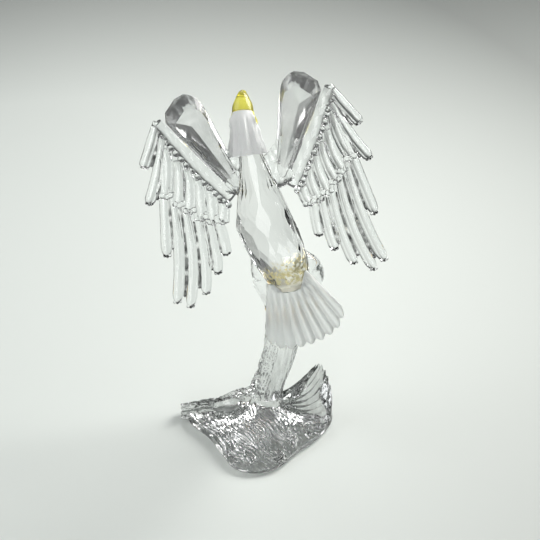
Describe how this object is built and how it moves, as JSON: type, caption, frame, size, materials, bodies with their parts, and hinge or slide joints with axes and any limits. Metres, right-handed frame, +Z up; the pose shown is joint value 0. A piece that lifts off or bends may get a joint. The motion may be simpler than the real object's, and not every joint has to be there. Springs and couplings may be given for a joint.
{
  "type": "crystal eagle figurine",
  "caption": "Clear crystal eagle landing with raised wings on a driftwood stump, with frosted head and tail, yellow beak and gilt feet.",
  "frame": {"origin": "centre of the flat underside of the driftwood base", "axes": "+Z up, -Y the way the eagle faces, +X the eagle's left wing"},
  "size_m": [0.0942, 0.0524, 0.1597],
  "materials": {
    "clear_crystal": "clear, colourless, polished",
    "frosted_crystal": "frosted, matte white",
    "yellow_crystal": "yellow, polished",
    "gilt_metal": "gilt, polished"
  },
  "bodies": {
    "root": {"base": "clear_crystal", "body": "clear_crystal", "wing_left": "clear_crystal", "wing_right": "clear_crystal", "leg_left": "clear_crystal", "leg_right": "clear_crystal", "head": "frosted_crystal", "tail": "frosted_crystal", "beak": "yellow_crystal", "foot_left": "gilt_metal", "foot_right": "gilt_metal"}
  },
  "joints": []
}
